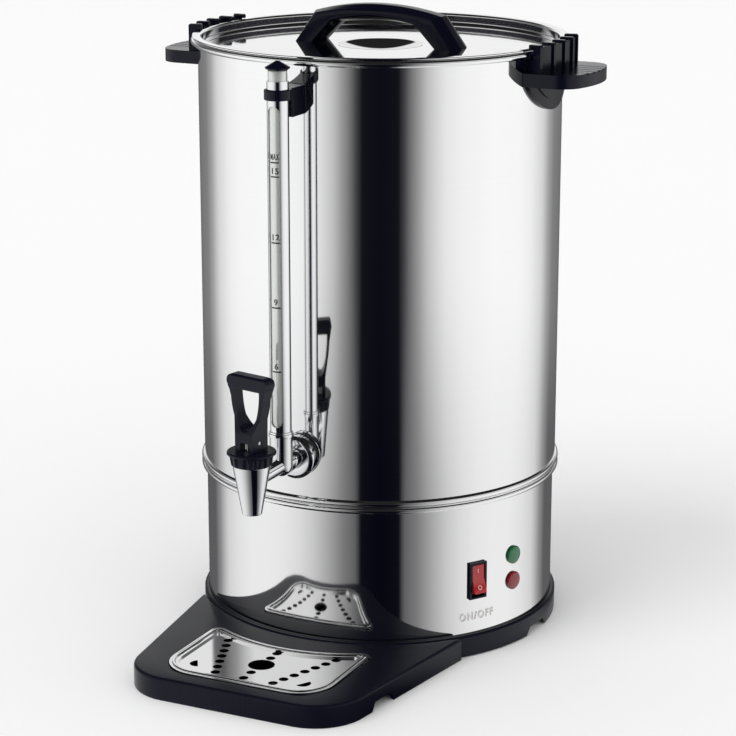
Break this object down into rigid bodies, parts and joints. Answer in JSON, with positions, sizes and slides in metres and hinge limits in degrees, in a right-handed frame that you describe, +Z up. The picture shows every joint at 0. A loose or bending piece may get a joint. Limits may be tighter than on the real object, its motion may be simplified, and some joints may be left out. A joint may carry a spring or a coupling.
{
  "type": "coffee urn",
  "caption": "Percolating coffee urn: polished steel tank on a housing, twist-lock lid, sight gauge, lever tap, rocker switch, lamps and a slide-out drip tray.",
  "frame": {"origin": "on the floor under the middle of the part's box", "axes": "+Z up, -Y toward the tap and drip tray, X along the two side handles"},
  "size_m": [0.358, 0.4043, 0.4847],
  "materials": {
    "polished_steel": "polished",
    "pressed_steel": "satin",
    "zinc_steel": "satin",
    "spring_steel": "satin",
    "chrome": "polished",
    "black_gloss": "gloss",
    "black_satin": "satin",
    "red_rocker": "translucent gloss",
    "green_lens": "translucent gloss",
    "red_lens": "translucent gloss",
    "white_plastic": "satin",
    "clear_glass": "clear",
    "silicone": "matte",
    "black_rubber": "matte",
    "brass": "satin",
    "aluminium": "satin",
    "element_sheath": "dull",
    "phenolic": "satin"
  },
  "bodies": {
    "urn": {"tank": "polished_steel", "base_skirt": "polished_steel", "base_ring": "black_satin", "bottom_cover": "zinc_steel", "rubber_feet": "black_rubber", "cover_screws": "zinc_steel", "left_handle": "black_gloss", "right_handle": "black_gloss", "handle_screws": "zinc_steel", "gauge_cap": "black_gloss", "gauge_glass": "clear_glass", "gauge_guard": "chrome", "gauge_bracket": "black_gloss", "gauge_seal": "silicone", "tap_shank": "chrome", "wall_nut": "chrome", "wall_washer": "black_rubber", "inner_washer": "silicone", "lock_nut": "chrome", "tap_body": "chrome", "tap_bonnet": "black_satin", "tap_spring": "spring_steel", "switch_housing": "black_satin", "green_lamp": "green_lens", "red_lamp": "red_lens", "lamp_nuts": "white_plastic", "mains_inlet": "black_satin", "inlet_pins": "brass", "diffuser_plate": "aluminium", "heating_element": "element_sheath", "thermostat": "phenolic", "cut_out": "phenolic", "pump_foot": "pressed_steel", "riser_tube": "pressed_steel", "coffee_basket": "pressed_steel", "basket_spreader": "pressed_steel"},
    "lid_carrier": {"lid_seal": "silicone"},
    "lid": {"lid": "polished_steel", "lid_handle": "black_gloss", "lid_screws": "zinc_steel"},
    "tray": {"drip_tray": "black_satin"},
    "grid": {"drip_grid": "pressed_steel"},
    "valve_stem": {"tap_stem": "white_plastic", "seat_cup": "silicone", "lever_pin": "zinc_steel"},
    "lever": {"tap_lever": "black_satin"},
    "switch_rocker": {"rocker": "red_rocker"},
    "check_valve": {"pump_valve": "pressed_steel"}
  },
  "joints": [
    {"name": "lid_lift", "type": "slide", "parent": "urn", "child": "lid_carrier", "axis": [0, 0, 1], "range_m": [0, 0.08]},
    {"name": "lid_turn", "type": "hinge", "parent": "lid_carrier", "child": "lid", "pos_m": [0, 0.0568, 0.461], "axis": [0, 0, -1], "range_deg": [0, 40]},
    {"name": "tray_slide", "type": "slide", "parent": "urn", "child": "tray", "axis": [0, -1, 0], "range_m": [0, 0.15]},
    {"name": "grid_lift", "type": "slide", "parent": "tray", "child": "grid", "axis": [0, 0, 1], "range_m": [0, 0.045]},
    {"name": "stem_lift", "type": "slide", "parent": "urn", "child": "valve_stem", "axis": [0, 0, 1], "range_m": [0, 0.00416], "deforming": ["tap_spring"]},
    {"name": "lever_tilt", "type": "hinge", "parent": "valve_stem", "child": "lever", "pos_m": [0, -0.1572, 0.1934], "axis": [0.9781, -0.2079, 0], "range_deg": [0, 28], "stiffness_Nm_per_rad": 0.065},
    {"name": "rocker_tilt", "type": "hinge", "parent": "urn", "child": "switch_rocker", "pos_m": [0.11389, -0.01437, 0.06], "axis": [0.5299, 0.848, 0], "range_deg": [0, 24]},
    {"name": "valve_float", "type": "slide", "parent": "urn", "child": "check_valve", "axis": [0, 0, 1], "range_m": [0, 0.003]}
  ],
  "couplings": [
    {"joint": "stem_lift", "follows": "lever_tilt", "m_per_rad": 0.0085}
  ]
}
